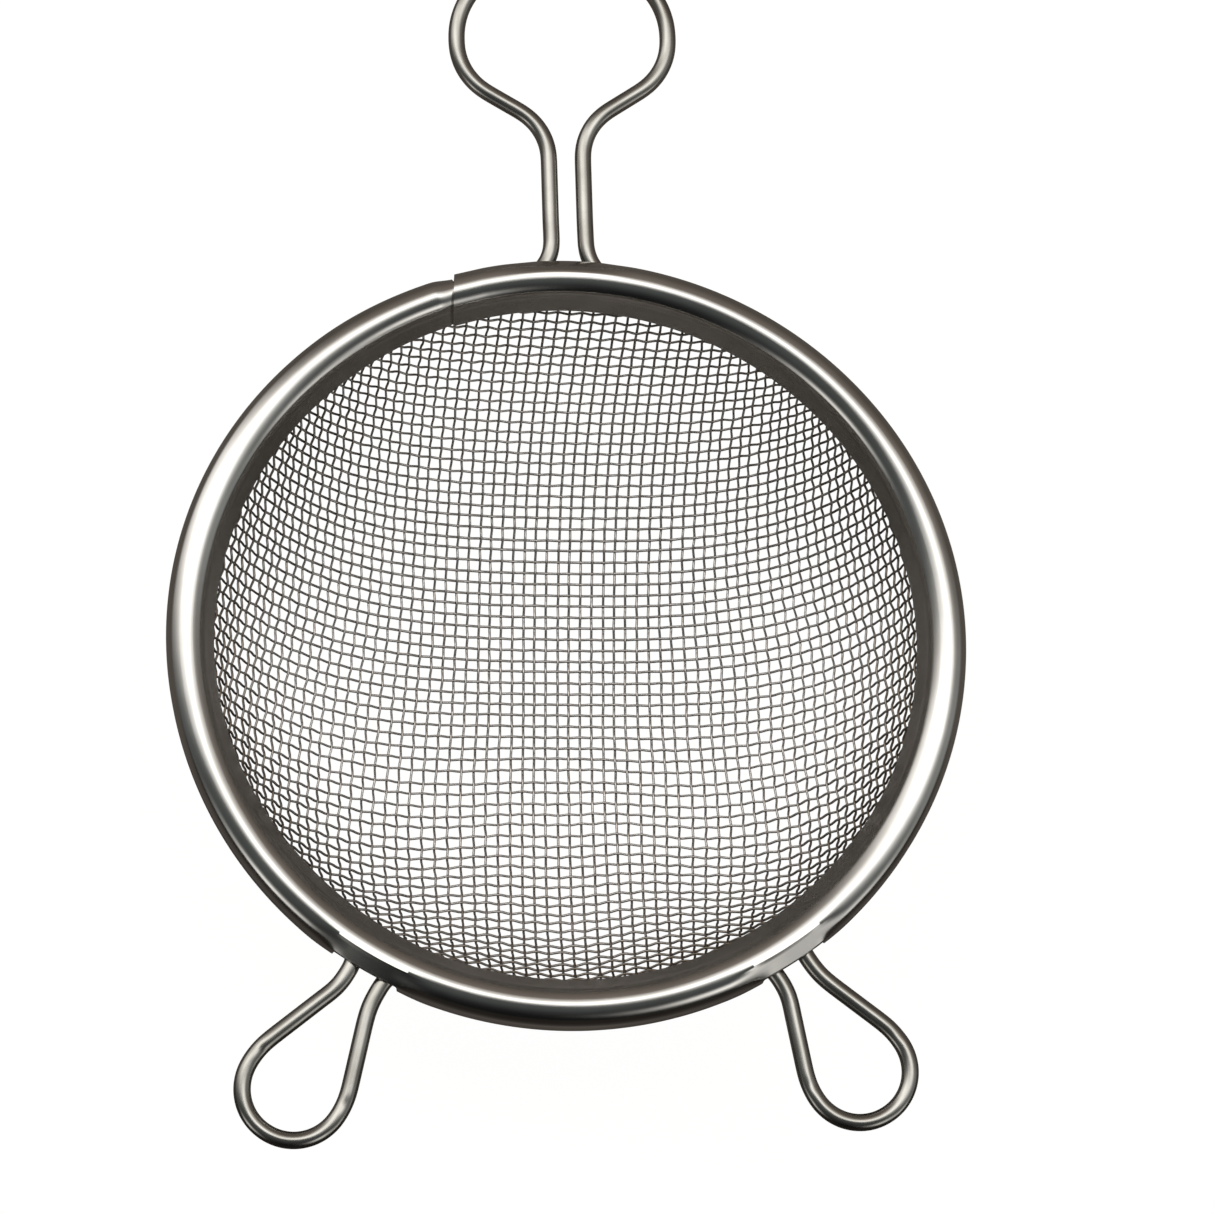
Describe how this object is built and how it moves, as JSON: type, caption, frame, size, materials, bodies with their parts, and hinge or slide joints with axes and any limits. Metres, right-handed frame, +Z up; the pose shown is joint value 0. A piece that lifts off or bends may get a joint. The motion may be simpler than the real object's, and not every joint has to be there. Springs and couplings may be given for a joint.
{
  "type": "tea strainer",
  "caption": "Round wire-cloth tea strainer with a folded steel rim, a looped wire handle and two wire rest loops that sit on a cup's edge.",
  "frame": {"origin": "centre of the small flat on the underside of the bowl", "axes": "+Z up out of the bowl's mouth, +Y along the handle, +X to the right seen from above with the handle pointing away"},
  "size_m": [0.08, 0.124, 0.0254],
  "materials": {
    "rim_steel": "bright rolled stainless sheet",
    "mesh_steel": "drawn stainless wire cloth",
    "wire_steel": "satin drawn stainless wire"
  },
  "bodies": {
    "root": {"rim_channel": "rim_steel", "mesh_bowl": "mesh_steel", "handle_wire": "wire_steel", "left_rest_loop": "wire_steel", "right_rest_loop": "wire_steel"}
  },
  "joints": []
}
